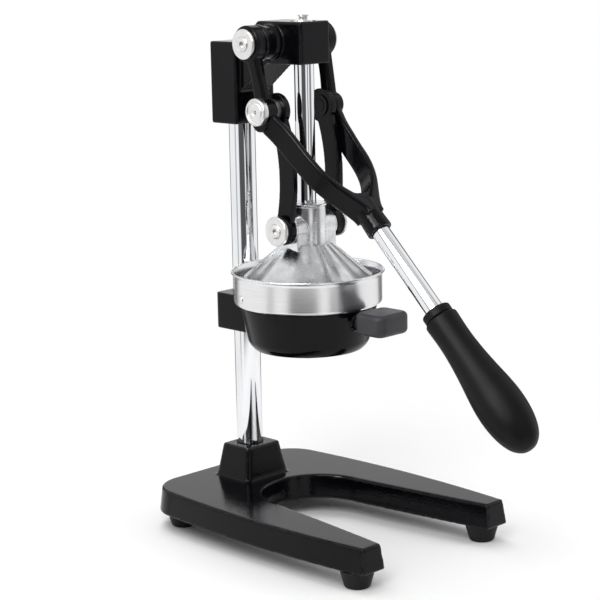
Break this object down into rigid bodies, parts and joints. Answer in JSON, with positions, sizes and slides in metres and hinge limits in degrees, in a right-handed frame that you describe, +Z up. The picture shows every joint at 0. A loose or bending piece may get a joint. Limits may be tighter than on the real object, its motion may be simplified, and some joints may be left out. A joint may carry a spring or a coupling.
{
  "type": "lever citrus juice press",
  "caption": "Lever citrus press: black cast horseshoe base, chrome column and head, a forked lever that drives a bell down on a strainer in a spouted cup",
  "frame": {"origin": "centre of the whole press in X and Y, on the table the feet stand on", "axes": "+Z up along the column; the lever points along -Y, the front; the column stands towards +Y; -X is the left side seen from the front"},
  "size_m": [0.185, 0.3475, 0.4251],
  "materials": {
    "black_casting": "gloss black hammered enamel",
    "foot_rubber": "matte",
    "chrome_bar": "bright plated",
    "cast_aluminium": "satin cast, lightly tumbled",
    "spun_steel": "brushed, bright rolled lip",
    "pivot_steel": "satin turned",
    "black_spacer": "semi-gloss black",
    "zinc_fixing": "zinc plated",
    "bronze_bush": "plain machined",
    "grip_plastic": "matte, fine grain",
    "paddle_plastic": "matte"
  },
  "bodies": {
    "stand": {"base_casting": "black_casting", "foot_front_left": "foot_rubber", "foot_front_right": "foot_rubber", "foot_rear_left": "foot_rubber", "foot_rear_right": "foot_rubber", "foot_screws": "zinc_fixing", "column": "chrome_bar", "column_washer": "zinc_fixing", "column_nut": "zinc_fixing", "head_casting": "black_casting", "head_screws": "zinc_fixing", "rod_bush_lower": "bronze_bush", "rod_bush_upper": "bronze_bush", "bowl_holder": "black_casting", "bracket_screw": "zinc_fixing", "juice_cup": "spun_steel", "cup_rivets": "spun_steel", "strainer_cone": "cast_aluminium", "paddle_stud": "pivot_steel", "paddle_nut": "black_spacer", "paddle_handle": "paddle_plastic", "top_pivot_pin_left": "pivot_steel", "top_pivot_cap_left": "pivot_steel", "top_pivot_pin_right": "pivot_steel", "top_pivot_cap_right": "pivot_steel"},
    "lever": {"lever_fork": "black_casting", "lever_screw": "zinc_fixing", "lever_tube": "chrome_bar", "grip_collar": "grip_plastic", "lever_grip": "grip_plastic", "elbow_pin_left": "pivot_steel", "elbow_washer_left": "pivot_steel", "elbow_pin_right": "black_spacer", "elbow_washer_right": "pivot_steel"},
    "links": {"link_left": "black_casting", "eye_pin_left": "black_spacer", "elbow_clip_left": "black_spacer", "link_right": "black_casting", "eye_pin_right": "black_spacer", "elbow_clip_right": "black_spacer"},
    "plunger": {"guide_rod": "chrome_bar", "rod_top_screw": "pivot_steel", "press_bell": "cast_aluminium", "hub_screw": "zinc_fixing", "ear_pin_left": "pivot_steel", "ear_washer_left": "cast_aluminium", "lower_pin_left": "pivot_steel", "lower_spacer_left": "black_spacer", "lower_cap_left": "pivot_steel", "ear_pin_right": "pivot_steel", "ear_washer_right": "cast_aluminium", "lower_pin_right": "pivot_steel", "lower_spacer_right": "black_spacer", "lower_cap_right": "pivot_steel"}
  },
  "joints": [
    {"name": "lever_hinge", "type": "hinge", "parent": "stand", "child": "lever", "pos_m": [0, 0.07948, 0.4038], "axis": [-1, 0, 0], "range_deg": [0, 85]},
    {"name": "press_slide", "type": "slide", "parent": "stand", "child": "plunger", "axis": [0, 0, 1], "range_m": [0, 0.0682]},
    {"name": "link_hinge", "type": "hinge", "parent": "plunger", "child": "links", "pos_m": [0, 0.05928, 0.256], "axis": [-1, 0, 0], "range_deg": [-24.1, 0]}
  ],
  "couplings": [
    {"joint": "press_slide", "follows": "lever_hinge", "m_per_rad": 0.045729},
    {"joint": "link_hinge", "follows": "lever_hinge", "ratio": -0.27943}
  ]
}
